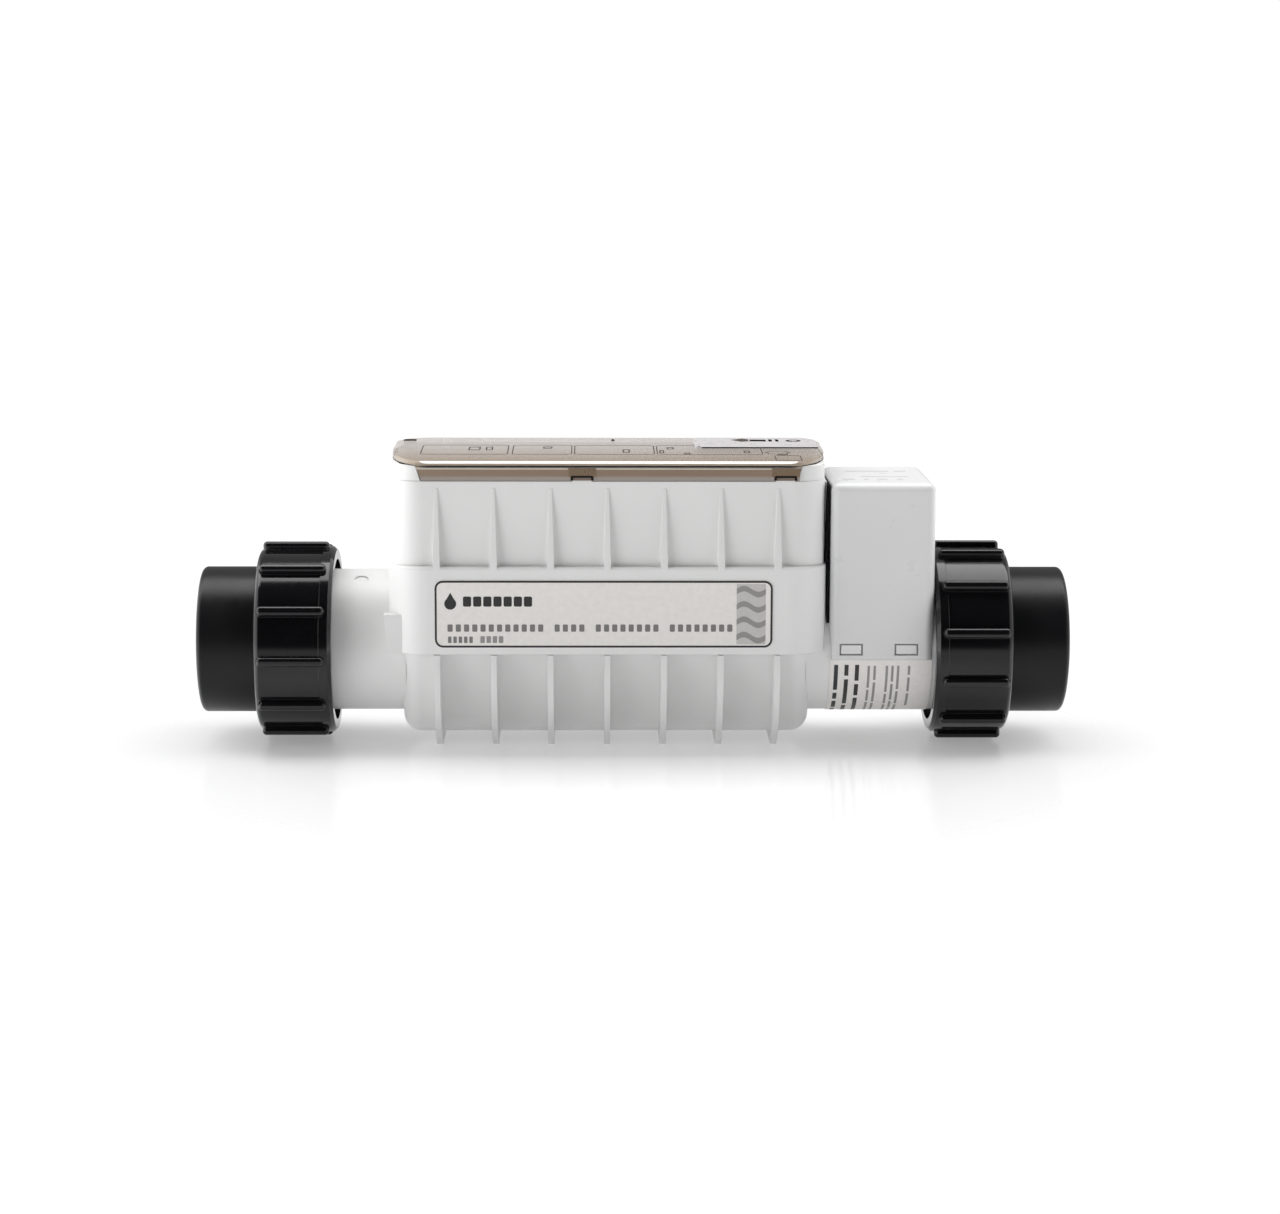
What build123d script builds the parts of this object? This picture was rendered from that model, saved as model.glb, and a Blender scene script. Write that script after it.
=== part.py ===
from build123d import *
import math
import os

os.makedirs("parts", exist_ok=True)

# An inline salt chlorine generator: a water pipe along X with a flow chamber in its middle, the
# electronics box over the chamber, a sensor box on the right neck and a pipe union at each end.
# Millimetres. The origin is on the surface the feet stand on, under the middle of the length.

# ---- driving dimensions ----
AXIS_Z = 50.0  # water axis above the feet
HALF_LENGTH = 216.0  # centre to the face of a tailpiece
RIB_PITCH = 27.8  # spacing of the side ribs
RIB_FIRST_X = -96.6
RIB_COUNT = 7

# pipe necks
NECK_R = 35.35
NECK_BORE_R = 29.0
THREAD_X = 157.0
NECK_END_X = 173.0
THREAD_ROOT_R = 38.2
THREAD_CREST_R = 39.8
THREAD_PITCH = 4.0
GATE_X = -135.5  # shallow round recess on the left neck
GATE_TILT = 23.0
GATE_R = 3.4
PORT_TOP = 89.4  # seat of the flow switch on the right neck
PORT_SEAL = 0.9

# flow chamber
CHAMBER_X = (-114.6, 87.2)
CHAMBER_BOTTOM = 6.4
CHAMBER_KNEE = 50.0
CHAMBER_TOP = 82.0
CHAMBER_HALF = 40.0
CHAMBER_FLOOR_HALF = 26.0
CHAMBER_WALL = 3.5
FLANGE_TOP = 86.0
FLANGE_HALF = 44.4
GASKET = 1.0
COVER_TOP = 90.6
FLANGE_CORNER = 16.5
SCREW_Y = 38.6

# electronics box
SKIRT_X = (-121.0, 95.0)
SKIRT_Z = (50.5, 93.7)
SKIRT_HALF = 48.0
SKIRT_WALL = 3.0
SKIRT_CORNER = 20.0
WALL_X = (-119.7, 93.9)
WALL_TOP = 135.4
WALL_HALF = 44.0
WALL_THICK = 2.8
WALL_CORNER = 16.0
DECK_TOP = 139.4
RIM_TOP = 142.7
RIM_THICK = 4.0
DECK_STEP = 0.25  # the deck's frame sits this far inside the wall
PAD_SLOPE = 0.022  # slant of the right wall's pad
PAD_HALF = 28.0
SEAL_THICK = 1.4
SEAL_HALF = 33.0

# lid
LID_X = (-120.3, 95.2)
LID_HALF = 44.8
LID_CORNER = 16.8  # back corners
LID_SWEEP = (19.6, 49.8)  # half widths in X and Y of the elliptical front corners
LID_RIM_Z = 143.0
LID_LIP_Z = 135.8
LID_LIP_X = (-105.2, 80.2)
LID_LIP_Y = (-44.8, -42.6)
LID_FRONT_Z = 145.2
LID_BACK_Z = 147.3
LID_WALL = 2.2
HINGE_Y = 44.5
HINGE_Z = 143.0
HINGE_PIN_R = 1.4
HINGE_FIT = 0.06
BARREL_R = 2.7
HINGE_CENTRES = (-85.0, 60.0)
HINGE_BARREL = 16.0
LATCH_X = (-25.6, 73.5)
LATCH_NOTCH = (11.0, 1.9)  # width and height
LATCH_TAB_HALF = 6.8
LATCH_TAB_FRONT = -45.0
LIP_TOP = 142.45  # top edge of the lip, under the groove
GROOVE_BACK = -43.9
VENTS = ((-113.5, 6.5), (-10.0, 1.6))  # centre and width
VENT_Y = 34.5
VENT_LENGTH = 7.0

# sensor box
SENSOR_X = (96.6, 148.2)
SENSOR_HALF = 37.5
SENSOR_Z = (46.0, 133.6)
SENSOR_WALL = 2.5
SENSOR_CORNER = 4.5
SNAP_X = ((101.5, 113.0), (128.7, 140.4))
SNAP_Z = (48.2, 54.0)
PORT_X = 122.0
GLAND_Z = 100.0
PADDLE_PIN_Z = 74.0
PADDLE_PIN_R = 1.0

# printed labels
FRONT_LABEL_SIZE = (165.0, 33.1)
FRONT_LABEL_CENTRE = (-15.0, 70.65)
LID_LABEL_X = 31.0
LID_LABEL_Y = (4.0, 40.0)
LID_LABEL_INSET = 2.2
LABEL_THICK = 0.4

# pipe unions
TAIL_R = 36.5
TAIL_SOCKET_R = 30.2
TAIL_SOCKET_DEPTH = 38.0
TAIL_BORE_R = 26.0
COLLAR_R = 39.5
COLLAR_X = (173.3, 181.0)
NUT_X = (148.8, 187.2)
NUT_RIM = (46.7, 6.0, 1.7)  # radius, width and chamfer of the band round the mouth
NUT_R = 46.0
NUT_BORE_R = 40.4
NUT_LIP_X = 181.3
NUT_HOLE_R = 36.8
NUT_RIB_R = 2.4
NUT_RIB_TOP = 50.0
NUT_RIB_COUNT = 12
NUT_RIB_X = (152.0, 185.2)
NUT_PHASE = {"left": 3.8, "right": 16.8}  # a rib's angle below the front horizontal

# electrodes
BLADE_X = (-88.0, 58.0)
BLADE_Z = (27.0, 71.0)
BLADE_THICK = 1.0
BLADE_PITCH = 5.5
BLADE_COUNT = 9
TAB_TOP = 76.0
ANODE_TAB_X = -60.0
CATHODE_TAB_X = 30.0
TAB_HALF = 7.0
POST_R = 3.0
POST_TOP = 108.0

# electronics
BOARD_Z = 116.0
BOARD_THICK = 1.6
DISPLAY_Z = 131.0
BUTTON_X = (-53.0, -39.0)
BUTTON_Y = -14.0
BUTTON_R = 4.5
LED_R = 1.5
LED_Y = -14.0
LED_X = (-98.0, -86.0, -74.0, -20.0, -8.0, 4.0, 18.0, 28.0, 38.0, 48.0, 58.0)


# ---- shape helpers ----
def block(x, y, z):
    """Box between pairs of coordinates."""
    size = Box(x[1] - x[0], y[1] - y[0], z[1] - z[0])
    return Pos((x[0] + x[1]) / 2, (y[0] + y[1]) / 2, (z[0] + z[1]) / 2) * size


def slab(x, half, z, corner):
    """Plate with rounded vertical corners, centred on Y = 0."""
    plan = RectangleRounded(x[1] - x[0], 2 * half, corner)
    return extrude(Pos((x[0] + x[1]) / 2, 0, z[0]) * plan, z[1] - z[0])


def rod_x(radius, x, y=0.0, z=AXIS_Z):
    rod = Rot(0, 90, 0) * Cylinder(radius, abs(x[1] - x[0]))
    return Pos((x[0] + x[1]) / 2, y, z) * rod


def rod_y(radius, x, y, z):
    return Pos(x, (y[0] + y[1]) / 2, z) * Rot(90, 0, 0) * Cylinder(radius, y[1] - y[0])


def rod_z(radius, x, y, z):
    return Pos(x, y, (z[0] + z[1]) / 2) * Cylinder(radius, z[1] - z[0])


def ring_x(outer, inner, x, y=0.0, z=AXIS_Z):
    return rod_x(outer, x, y, z) - rod_x(inner, (min(x) - 1, max(x) + 1), y, z)


def ring_z(outer, inner, x, y, z):
    return rod_z(outer, x, y, z) - rod_z(inner, x, y, (z[0] - 1, z[1] + 1))


def span(low, high, side):
    """An X range measured outward from the middle, on the left or the right side."""
    return (low, high) if side == "right" else (-high, -low)


def prism_x(points, x):
    """Outline in Y and Z extruded along X."""
    face = make_face(Polyline(*points, close=True))
    return extrude(Plane.YZ.offset(x[0]) * face, x[1] - x[0])


def grid(xs, ys):
    return [(x, y) for x in xs for y in ys]


def rib_positions():
    return [RIB_FIRST_X + RIB_PITCH * index for index in range(RIB_COUNT)]


# ---- flow chamber with its necks ----
def chamber_body(inset, corner, edge):
    half = CHAMBER_HALF - inset
    floor = CHAMBER_FLOOR_HALF - 0.6 * inset
    bottom = CHAMBER_BOTTOM + inset
    outline = [
        (-half, CHAMBER_TOP + 2),
        (-half, CHAMBER_KNEE),
        (-floor, bottom),
        (floor, bottom),
        (half, CHAMBER_KNEE),
        (half, CHAMBER_TOP + 2),
    ]
    face = make_face(Polyline(*outline, close=True))
    face = fillet(face.vertices().filter_by(lambda v: v.Y < CHAMBER_KNEE - 5), corner)
    face = fillet(face.vertices().filter_by(lambda v: abs(v.Y - CHAMBER_KNEE) < 1), 20)
    x = (CHAMBER_X[0] + inset, CHAMBER_X[1] - inset)
    body = extrude(Plane.YZ.offset(x[0]) * face, x[1] - x[0])
    ends = [e for s in (-1, 1) for e in body.faces().sort_by(Axis.X)[s if s < 0 else 0].edges()]
    ends = [e for e in ends if e.center().Z < CHAMBER_TOP]
    return fillet(ends, edge)


def lower_fin(x):
    """Rib that wraps under the chamber and stands on the surface as a foot."""
    top, foot = 47.5, 20.0
    right = ThreePointArc((top, CHAMBER_KNEE), (41.0, 19.0), (foot, 0))
    left = ThreePointArc((-foot, 0), (-41.0, 19.0), (-top, CHAMBER_KNEE))
    floor = Line((foot, 0), (-foot, 0))
    across = Line((-top, CHAMBER_KNEE), (top, CHAMBER_KNEE))
    face = make_face(right + floor + left + across)
    return extrude(Plane.YZ.offset(x - 1.5) * face, 3.0)


def neck(side):
    """Pipe neck with a threaded end and a groove for the O-ring in its end face."""
    inner = CHAMBER_X[1] - 2 if side == "right" else -CHAMBER_X[0] - 2
    body = rod_x(NECK_R, span(inner, THREAD_X + 1, side))
    body += rod_x(THREAD_ROOT_R, span(THREAD_X, NECK_END_X, side))
    turns = int((NECK_END_X - THREAD_X - 2) / THREAD_PITCH)
    for turn in range(turns):
        start = THREAD_X + 1.2 + turn * THREAD_PITCH
        body += thread_ridge(start, side)
    groove = ring_x(34.6, 31.4, span(NECK_END_X - 3.0, NECK_END_X + 1, side))
    return body - groove


def thread_ridge(start, side):
    """One buttress ridge round the threaded end."""
    sign = 1 if side == "right" else -1
    root, crest = THREAD_ROOT_R - 0.4, THREAD_CREST_R
    outline = [(start, root), (start + 1.0, crest), (start + 2.0, crest), (start + 3.0, root)]
    points = [(sign * x, 0, AXIS_Z + r) for x, r in outline]
    face = make_face(Polyline(*points, close=True))
    return revolve(face, Axis((0, 0, AXIS_Z), (1, 0, 0)), 360)


def cell_housing():
    body = chamber_body(0, 14, 9)
    flange_x = (CHAMBER_X[0] - 2, CHAMBER_X[1] + 2)
    body += slab(flange_x, FLANGE_HALF, (CHAMBER_TOP, FLANGE_TOP), FLANGE_CORNER)
    for x in rib_positions():
        body += lower_fin(x)
    for side in ("left", "right"):
        body += neck(side)
    body += rod_z(13.0, PORT_X, 0, (AXIS_Z + NECK_R - 3, PORT_TOP))
    body -= Pos(GATE_X, 0, AXIS_Z) * Rot(GATE_TILT, 0, 0) * Pos(0, 0, NECK_R) * Cylinder(GATE_R, 1.4)
    for x in SNAP_X:
        for y in ((-37.2, -30.0), (30.0, 37.2)):
            body += block((x[0] + 0.8, x[1] - 0.8), y, (SNAP_Z[0] + 0.7, SNAP_Z[1] - 0.7))
    body -= chamber_body(CHAMBER_WALL, 12, 6)
    mouth = (CHAMBER_X[0] + CHAMBER_WALL, CHAMBER_X[1] - CHAMBER_WALL)
    body -= block(mouth, (-CHAMBER_HALF + 5, CHAMBER_HALF - 5), (CHAMBER_TOP - 1, FLANGE_TOP + 1))
    body -= rod_x(NECK_BORE_R, (-NECK_END_X - 1, NECK_END_X + 1))
    body -= rod_z(8.4, PORT_X, 0, (AXIS_Z, PORT_TOP + 4))
    body -= ring_z(12.0, 8.5, PORT_X, 0, (PORT_TOP - PORT_SEAL, PORT_TOP + 2))
    for x, y in screw_places():
        body -= rod_z(1.6, x, y, (FLANGE_TOP - 3.5, FLANGE_TOP + 1))
    return body


def screw_places():
    return grid((-102.0, -58.0, -14.0, 30.0, 74.0), (-SCREW_Y, SCREW_Y))


def chamber_gasket():
    outside = (CHAMBER_X[0] - 1, CHAMBER_X[1] + 1)
    body = slab(outside, FLANGE_HALF - 1, (FLANGE_TOP, FLANGE_TOP + GASKET), FLANGE_CORNER - 1)
    body -= slab((CHAMBER_X[0] + 5, CHAMBER_X[1] - 5), 35.4, (FLANGE_TOP - 1, FLANGE_TOP + 2), 10)
    for x, y in screw_places():
        body -= rod_z(1.8, x, y, (FLANGE_TOP - 1, FLANGE_TOP + 2))
    return body


def board_posts():
    return grid((-96.0, 70.0), (-30.0, 30.0))


def chamber_cover():
    """Lid of the flow chamber, with the standoffs that carry the electronics."""
    bottom = FLANGE_TOP + GASKET
    body = slab((CHAMBER_X[0] - 2, CHAMBER_X[1] + 2), FLANGE_HALF, (bottom, COVER_TOP), FLANGE_CORNER)
    for x, y in board_posts():
        body += rod_z(3.5, x, y, (COVER_TOP - 1, BOARD_Z))
        body -= rod_z(1.2, x, y, (BOARD_Z - 8, BOARD_Z + 1))
    for x in (ANODE_TAB_X, CATHODE_TAB_X):
        body += rod_z(8.0, x, 0, (COVER_TOP - 1, COVER_TOP + 3))
        body -= rod_z(POST_R + 0.05, x, 0, (bottom - 1, COVER_TOP + 4))
        body -= rod_z(5.4, x, 0, (COVER_TOP + 1, COVER_TOP + 4))
    for x, y in probe_places():
        body -= rod_z(1.55, x, y, (bottom - 1, COVER_TOP + 1))
    for x, y in screw_places():
        body -= rod_z(1.8, x, y, (bottom - 1, COVER_TOP + 1))
    return body


def screw(radius, head, x, y, top, length, head_height=2.2):
    """Pan-head screw with a cross slot, its head sitting on the height top."""
    body = rod_z(radius, x, y, (top - length, top)) + rod_z(head, x, y, (top, top + head_height))
    slot = (top + head_height * 0.5, top + head_height + 1)
    body -= block((x - head * 0.6, x + head * 0.6), (y - 0.4, y + 0.4), slot)
    body -= block((x - 0.4, x + 0.4), (y - head * 0.6, y + head * 0.6), slot)
    return body


def cover_screws():
    return [screw(1.5, 2.5, x, y, COVER_TOP, 7.5, 1.8) for x, y in screw_places()]


# ---- electrodes ----
def blade_ys():
    middle = (BLADE_COUNT - 1) / 2
    return [(index - middle) * BLADE_PITCH for index in range(BLADE_COUNT)]


def blade(y, tab_x):
    half = BLADE_THICK / 2
    body = block(BLADE_X, (y - half, y + half), BLADE_Z)
    return body + block((tab_x - TAB_HALF, tab_x + TAB_HALF), (y - half, y + half), (60.0, TAB_TOP))


def anode_plates():
    return [blade(y, ANODE_TAB_X) for y in blade_ys()[0::2]]


def cathode_plates():
    return [blade(y, CATHODE_TAB_X) for y in blade_ys()[1::2]]


def bus_bar(x, reach):
    """Bar across one set of blades with the threaded post that leaves the chamber."""
    body = block((x - TAB_HALF, x + TAB_HALF), (-reach, reach), (TAB_TOP, TAB_TOP + 3))
    return body + rod_z(POST_R, x, 0, (TAB_TOP + 2, POST_TOP))


def terminal_posts():
    return [bus_bar(ANODE_TAB_X, 23.0), bus_bar(CATHODE_TAB_X, 17.5)]


def plate_combs():
    """Slotted frames that space the blades."""
    combs = []
    for x in (BLADE_X[0] + 6, (BLADE_X[0] + BLADE_X[1]) / 2, BLADE_X[1] - 6):
        for z in ((22.0, 31.0), (66.0, 75.0)):
            comb = block((x - 2.5, x + 2.5), (-26.0, 26.0), z)
            for y in blade_ys():
                comb -= block((x - 3, x + 3), (y - 0.65, y + 0.65), (BLADE_Z[0] - 0.2, BLADE_Z[1] + 0.2))
            combs.append(comb)
    return combs


def hex_nut(x, y, z, across=10.0):
    hexagon = RegularPolygon(across / 2, 6, major_radius=False)
    body = extrude(Pos(x, y, z[0]) * hexagon, z[1] - z[0])
    return body - rod_z(POST_R + 0.02, x, y, (z[0] - 1, z[1] + 1))


def terminal_nuts():
    return [hex_nut(x, 0, (COVER_TOP + 3.2, COVER_TOP + 8)) for x in (ANODE_TAB_X, CATHODE_TAB_X)]


def terminal_seals():
    height = COVER_TOP + 2.0
    return [Pos(x, 0, height) * Torus(4.2, 0.95) for x in (ANODE_TAB_X, CATHODE_TAB_X)]


def probe_places():
    return [(73.0, -9.0), (73.0, 9.0)]


def salinity_probes():
    return [rod_z(1.5, x, y, (58.0, 104.0)) for x, y in probe_places()]


# ---- electronics box ----
def upper_rib(x, side):
    """Tapered rib on the wall above the band, wider and deeper at its foot."""
    low, high = SKIRT_Z[1] - 1, 132.0
    outline = [(x - 1.8, low), (x + 1.8, low), (x + 0.8, high), (x - 0.8, high)]
    face = make_face(Polyline(*outline, close=True))
    front = extrude(Plane.XZ.offset(42.5) * face, 6.0)
    wedge = prism_x([(-42.0, low), (-48.0, low), (-44.1, high), (-42.0, high)], (x - 4, x + 4))
    rib = front & wedge
    return rib if side < 0 else rib.mirror(Plane.XZ)


def side_pad(side):
    """Raised pad beside the left neck, slanted on its outer face."""
    low, high = SKIRT_Z[0], 69.3
    outline = [(-121.2, low), (-122.8, high), (-112.0, high), (-112.0, low)]
    face = make_face(Polyline(*outline, close=True))
    pad = extrude(Plane.XZ.offset(NECK_R) * face, 8.0)
    return pad if side < 0 else pad.mirror(Plane.XZ)


def pad_face(height):
    """X of the slanted pad on the right wall at a height."""
    return WALL_X[1] + 0.1 + PAD_SLOPE * (height - SKIRT_Z[1])


def slanted_bar(low, high, inner, thick, half):
    """Bar on the right wall between two heights, following the pad's slant."""
    outline = [
        (pad_face(low) + inner, low),
        (pad_face(low) + inner + thick, low),
        (pad_face(high) + inner + thick, high),
        (pad_face(high) + inner, high),
    ]
    face = make_face(Polyline(*outline, close=True))
    return extrude(Plane.XZ.offset(half) * face, -2 * half)


def box_seal():
    """Foam strip that closes the gap between the electronics box and the sensor box."""
    step = SKIRT_Z[1] + 0.1
    outer = SENSOR_X[0] - 0.1
    body = slanted_bar(step, WALL_TOP - 3, 0.02, SEAL_THICK, SEAL_HALF)
    body += block((pad_face(step) + 0.1, outer), (-SEAL_HALF, SEAL_HALF), (step, step + 2))
    body += block((SKIRT_X[1] + 0.02, outer), (-SEAL_HALF, SEAL_HALF), (52.0, step + 2))
    return body - rod_x(NECK_R + 0.4, (SKIRT_X[1] - 1, outer + 1))


def upper_housing():
    body = slab(SKIRT_X, SKIRT_HALF, SKIRT_Z, SKIRT_CORNER)
    body = fillet(body.faces().sort_by(Axis.Z)[-1].edges(), 1.5)
    body += slab(WALL_X, WALL_HALF, (SKIRT_Z[1] - 2, WALL_TOP), WALL_CORNER)
    for x in rib_positions():
        for side in (-1, 1):
            body += upper_rib(x, side)
    for side in (-1, 1):
        body += side_pad(side)
    body += slanted_bar(SKIRT_Z[1] - 1, WALL_TOP - 2, -2.0, 2.0, PAD_HALF)
    inner_x = (SKIRT_X[0] + SKIRT_WALL, SKIRT_X[1] - SKIRT_WALL)
    body -= slab(inner_x, SKIRT_HALF - SKIRT_WALL, (SKIRT_Z[0] - 1, COVER_TOP + 0.3), SKIRT_CORNER - 3)
    inner_x = (WALL_X[0] + WALL_THICK, WALL_X[1] - WALL_THICK)
    body -= slab(inner_x, WALL_HALF - WALL_THICK, (COVER_TOP - 1, WALL_TOP + 1), WALL_CORNER - 3)
    body -= rod_x(NECK_R + 0.4, (SKIRT_X[0] - 10, SKIRT_X[1] + 5))
    return body


def control_deck():
    """Frame under the lid: a raised rim, a sunk floor for the keypad and lugs for the lid's hinge."""
    outside = (WALL_X[0] + DECK_STEP, WALL_X[1] - DECK_STEP)
    body = slab(outside, WALL_HALF - DECK_STEP, (WALL_TOP, RIM_TOP), WALL_CORNER)
    inner = (WALL_X[0] + RIM_THICK, WALL_X[1] - RIM_THICK)
    body -= slab(inner, WALL_HALF - RIM_THICK, (DECK_TOP, RIM_TOP + 1), WALL_CORNER - RIM_THICK)
    body += slab(inner, WALL_HALF - RIM_THICK, (WALL_TOP - 2.5, WALL_TOP + 1), WALL_CORNER - RIM_THICK)
    pocket = (inner[0] + 2, inner[1] - 2)
    corner = WALL_CORNER - RIM_THICK - 2
    body -= slab(pocket, WALL_HALF - RIM_THICK - 2, (WALL_TOP - 3, DECK_TOP - 2.4), corner)
    body -= lip_outline(0.35, -50.0, LID_LIP_Y[1] + 0.4)
    for x in LATCH_X:
        half = LATCH_NOTCH[0] / 2
        body -= block((x - half, x + half), (-46.0, -41.2), (WALL_TOP, LID_LIP_Z + LATCH_NOTCH[1]))
        half -= 0.8
        body += block((x - half, x + half), (-44.2, -41.0), (WALL_TOP, LID_LIP_Z + 1.2))
    for x in BUTTON_X:
        body -= rod_z(BUTTON_R + 0.3, x, BUTTON_Y, (WALL_TOP - 1, DECK_TOP + 1))
    for x in LED_X:
        body -= rod_z(LED_R + 0.1, x, LED_Y, (WALL_TOP - 1, DECK_TOP + 1))
    half = HINGE_BARREL / 2
    for centre in HINGE_CENTRES:
        body -= block((centre - half - 0.3, centre + half + 0.3), (41.2, 46.0), (140.0, 146.0))
    for lug in hinge_lugs():
        body += lug
    for centre in HINGE_CENTRES:
        body -= rod_x(HINGE_PIN_R, (centre - 20, centre + 20), HINGE_Y, HINGE_Z)
    return body


def lug_spans():
    half = HINGE_BARREL / 2
    spans = []
    for centre in HINGE_CENTRES:
        spans.append((centre - half - 4.0, centre - half - 0.3))
        spans.append((centre + half + 0.3, centre + half + 4.0))
    return spans


def hinge_lugs():
    lugs = []
    for x in lug_spans():
        lug = rod_x(BARREL_R, x, HINGE_Y, HINGE_Z)
        lug += block(x, (HINGE_Y - BARREL_R, HINGE_Y - 0.5), (RIM_TOP - 3, HINGE_Z))
        lugs.append(lug)
    return lugs


def keypad_overlay():
    """Printed film on the deck with clear holes for the buttons and the lamps."""
    z = (DECK_TOP, DECK_TOP + 0.25)
    body = slab((-114.0, 88.5), 38.5, z, 9.0)
    for x in BUTTON_X:
        body -= rod_z(BUTTON_R + 0.3, x, BUTTON_Y, (z[0] - 1, z[1] + 1))
    for x in LED_X:
        body -= rod_z(LED_R + 0.1, x, LED_Y, (z[0] - 1, z[1] + 1))
    return body


def push_button(x):
    """Button cap: a crowned top on a stem that stops short of the display board's switch."""
    cap = rod_z(BUTTON_R, x, BUTTON_Y, (DECK_TOP - 3.2, DECK_TOP + 1.4))
    cap = fillet(cap.edges().sort_by(Axis.Z)[-1], 0.8)
    stem = rod_z(1.6, x, BUTTON_Y, (DISPLAY_Z + 4.9, DECK_TOP - 3))
    return cap + stem


def status_lamps():
    lamps = []
    for x in LED_X:
        lamp = rod_z(LED_R, x, LED_Y, (DISPLAY_Z + BOARD_THICK, DECK_TOP + 0.2))
        lamps.append(lamp + Pos(x, LED_Y, DECK_TOP + 0.2) * Sphere(LED_R))
    return lamps


def display_board():
    return block((-106.0, 66.0), (-26.0, 0.0), (DISPLAY_Z, DISPLAY_Z + BOARD_THICK))


def display_switches():
    """Tact switches under the two buttons."""
    base = DISPLAY_Z + BOARD_THICK
    return [block((x - 3, x + 3), (BUTTON_Y - 3, BUTTON_Y + 3), (base, base + 2.2)) for x in BUTTON_X]


def display_pillars():
    """Spacers that hold the display board over the control board."""
    top = BOARD_Z + BOARD_THICK
    return [rod_z(2.0, x, y, (top, DISPLAY_Z)) for x, y in grid((-90.0, 55.0), (-22.0, -4.0))]


def control_board():
    body = block((-106.0, 80.0), (-36.0, 36.0), (BOARD_Z, BOARD_Z + BOARD_THICK))
    for x, y in board_posts():
        body -= rod_z(1.4, x, y, (BOARD_Z - 1, BOARD_Z + BOARD_THICK + 1))
    return body


def board_components():
    """Power parts of the control board: capacitors, coils, heat sink, relays, chips and connectors."""
    base = BOARD_Z + BOARD_THICK
    parts = []
    for x in (-70.0, -54.0, -38.0):
        parts.append(rod_z(6.0, x, 22.0, (base, base + 14.0)))
    for x in (-10.0, 16.0):
        parts.append(ring_z(10.0, 4.5, x, 18.0, (base, base + 8.0)))
    parts.append(heat_sink((34.0, 62.0), (8.0, 32.0), base))
    for x in (-60.0, -30.0, 0.0, 30.0):
        parts.append(block((x - 5, x + 5), (-16.0, -6.0), (base, base + 1.6)))
    parts.append(block((66.0, 78.0), (-20.0, 0.0), (base, base + 9.0)))
    return parts


def heat_sink(x, y, base):
    body = block(x, y, (base, base + 3.0))
    count = 7
    pitch = (x[1] - x[0] - 1.6) / (count - 1)
    for index in range(count):
        start = x[0] + index * pitch
        body += block((start, start + 1.6), y, (base + 2, base + 14.0))
    return body


def board_screws():
    top = BOARD_Z + BOARD_THICK
    return [screw(1.15, 2.6, x, y, top, 8.0) for x, y in board_posts()]


def power_lead(x, y):
    """Insulated lead from a terminal post's top to the board's underside."""
    route = [(x, 0, POST_TOP), (x, 0, POST_TOP + 3.5), (x, y, POST_TOP + 3.5), (x, y, BOARD_Z)]
    path = FilletPolyline(*route, radius=3.0)
    return sweep(Plane(origin=route[0], z_dir=(0, 0, 1)) * Circle(2.0), path=path)


def power_leads():
    return [power_lead(ANODE_TAB_X, 14.0), power_lead(CATHODE_TAB_X, 14.0)]


# ---- lid ----
def lid_top(y, drop=0.0):
    slope = (LID_BACK_Z - LID_FRONT_Z) / (2 * LID_HALF)
    return LID_FRONT_Z + slope * (y + LID_HALF) - drop


def front_corner(side, inset, bottom):
    """What the elliptical sweep takes off one front corner of the lid."""
    wide, deep = LID_SWEEP
    x = LID_X[1] - wide if side > 0 else LID_X[0] + wide
    y = deep - LID_HALF
    reach = (x, x + wide + 1) if side > 0 else (x - wide - 1, x)
    corner = block(reach, (-LID_HALF - 1, y), (bottom - 1, LID_BACK_Z + 3))
    sweep = Pos(x, y, bottom - 2) * Ellipse(wide - inset, deep - inset)
    return corner - extrude(sweep, LID_BACK_Z - bottom + 6)


def lid_envelope(inset, bottom, drop):
    """Solid under the lid's sloping top, with large corners."""
    x = (LID_X[0] + inset, LID_X[1] - inset)
    half = LID_HALF - inset
    body = slab(x, half, (bottom, LID_BACK_Z + 2), LID_CORNER - inset)
    for side in (-1, 1):
        body -= front_corner(side, inset, bottom)
    profile = [
        (-LID_HALF, bottom - 1),
        (-LID_HALF, lid_top(-LID_HALF, drop)),
        (LID_HALF, lid_top(LID_HALF, drop)),
        (LID_HALF, bottom - 1),
    ]
    return body & prism_x(profile, (LID_X[0] - 1, LID_X[1] + 1))


def lip_outline(grow, front, back):
    """The front lip's outline with slanted ends, between two depths."""
    low, high = LID_LIP_X
    outline = [
        (low - 1.5 - grow, LID_RIM_Z + 1),
        (low + 1.5 - grow, LID_LIP_Z - 2 * grow),
        (high - 1.5 + grow, LID_LIP_Z - 2 * grow),
        (high + 1.5 + grow, LID_RIM_Z + 1),
    ]
    face = make_face(Polyline(*outline, close=True))
    return extrude(Plane.XZ.offset(-back) * face, back - front)


def lid_front_cuts():
    """Groove over the lip, the lip's sloped top edge and the chamfer on the panel's front edge."""
    x = (LID_X[0] - 1, LID_X[1] + 1)
    front = LID_LIP_Y[0]
    groove = block(x, (front - 1, GROOVE_BACK), (LIP_TOP, LID_RIM_Z))
    low = LIP_TOP - 0.52
    slope = [(front - 1, LIP_TOP), (GROOVE_BACK, LIP_TOP), (front, low), (front - 1, low)]
    top = lid_top(front)
    chamfer = [(front - 1, top - 1.67), (front - 1, top + 2), (front + 1.85, top + 2), (front + 1.85, top)]
    return groove + prism_x(slope, x) + prism_x(chamfer, x)


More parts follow.
